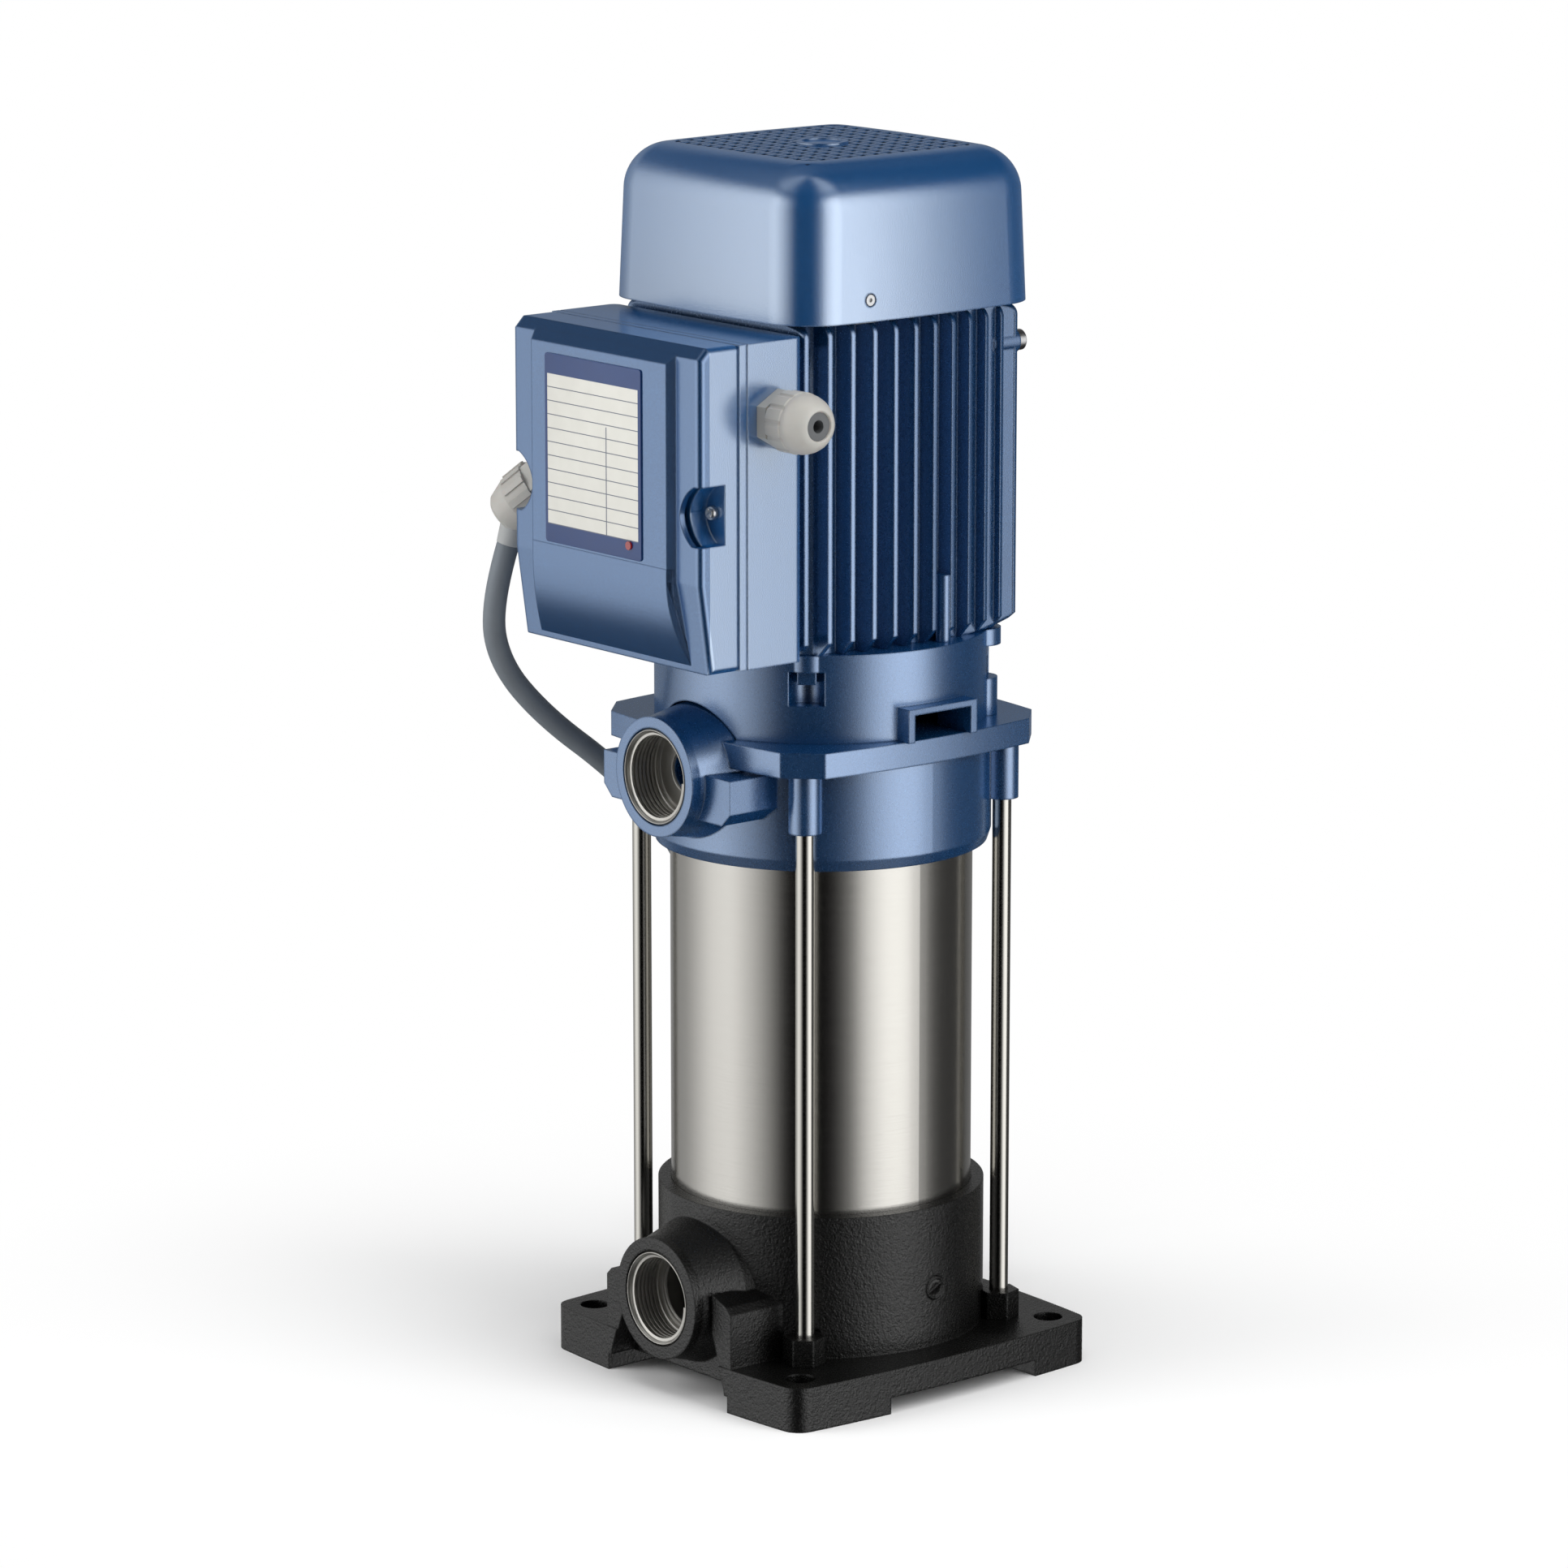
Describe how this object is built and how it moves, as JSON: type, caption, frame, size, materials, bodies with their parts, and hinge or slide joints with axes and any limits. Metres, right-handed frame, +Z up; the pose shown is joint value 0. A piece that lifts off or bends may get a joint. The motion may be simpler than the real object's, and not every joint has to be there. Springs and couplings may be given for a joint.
{
  "type": "electric pump",
  "caption": "Vertical multistage electric pump with in-line threaded ports, finned motor, terminal box and power lead.",
  "frame": {"origin": "middle of the four foundation bolt holes, on the floor", "axes": "+Z up along the shaft, -Y out of both ports and towards the terminal box lid"},
  "size_m": [0.3271, 0.3368, 0.5905],
  "materials": {
    "black_casting": "painted black over a rough cast skin",
    "blue_paint": "satin metallic enamel",
    "barrel_steel": "brushed round the barrel",
    "rod_steel": "bright rolled rod",
    "port_steel": "turned steel ring",
    "screw_steel": "zinc plated",
    "shaft_steel": "ground",
    "bearing_steel": "polished",
    "iron_sheet": "stacked sheets",
    "copper_wire": "lacquered winding",
    "bare_aluminium": "cast",
    "seal_carbon": "lapped carbon",
    "label_foil": "printed foil",
    "lamp_red": "clear red lens",
    "dark_plastic": "moulded",
    "gland_plastic": "moulded nylon",
    "seal_rubber": "soft",
    "sleeve_rubber": "soft",
    "cable_jacket": "smooth jacket",
    "plug_rubber": "moulded",
    "stage_plastic": "moulded"
  },
  "bodies": {
    "pump_body": {"base_casting": "black_casting", "suction_port_ring": "port_steel", "drain_plug": "black_casting", "barrel": "barrel_steel", "discharge_casing": "blue_paint", "discharge_port_ring": "port_steel", "motor_bracket": "blue_paint", "bracket_screws": "blue_paint", "motor_housing": "blue_paint", "earth_screw": "screw_steel", "stator_core": "iron_sheet", "stator_windings": "copper_wire", "end_shield": "bare_aluminium", "fan_cover": "blue_paint", "fan_cover_screws": "screw_steel", "lower_bearing_outer": "bearing_steel", "upper_bearing_outer": "bearing_steel", "seal_seat": "seal_carbon", "terminal_box_base": "blue_paint", "terminal_box_cover": "blue_paint", "lid_screw_left": "screw_steel", "lid_screw_right": "screw_steel", "rating_label": "label_foil", "indicator_lamp": "lamp_red", "capacitor": "dark_plastic", "terminal_block": "dark_plastic", "gland_body_right": "gland_plastic", "gland_nut_right": "gland_plastic", "gland_seal_right": "seal_rubber", "gland_body_left": "gland_plastic", "gland_nut_left": "gland_plastic", "cable_sleeve": "sleeve_rubber", "power_cable": "cable_jacket", "cable_coil": "cable_jacket", "power_plug": "plug_rubber", "tie_rod_1": "rod_steel", "tie_rod_nut_1": "black_casting", "diffuser_1": "stage_plastic", "tie_rod_2": "rod_steel", "tie_rod_nut_2": "black_casting", "diffuser_2": "stage_plastic", "tie_rod_3": "rod_steel", "tie_rod_nut_3": "black_casting", "diffuser_3": "stage_plastic", "tie_rod_4": "rod_steel", "tie_rod_nut_4": "black_casting", "diffuser_4": "stage_plastic"},
    "rotor": {"motor_shaft": "shaft_steel", "rotor_core": "iron_sheet", "pump_shaft": "shaft_steel", "coupling": "shaft_steel", "lower_bearing_inner": "bearing_steel", "upper_bearing_inner": "bearing_steel", "cooling_fan": "dark_plastic", "seal_face_ring": "seal_carbon", "impeller_1": "stage_plastic", "impeller_2": "stage_plastic", "impeller_3": "stage_plastic", "impeller_4": "stage_plastic"}
  },
  "joints": [
    {"name": "rotor_spin", "type": "hinge", "parent": "pump_body", "child": "rotor", "pos_m": [0, 0, 0.4], "axis": [0, 0, 1], "continuous": true}
  ]
}
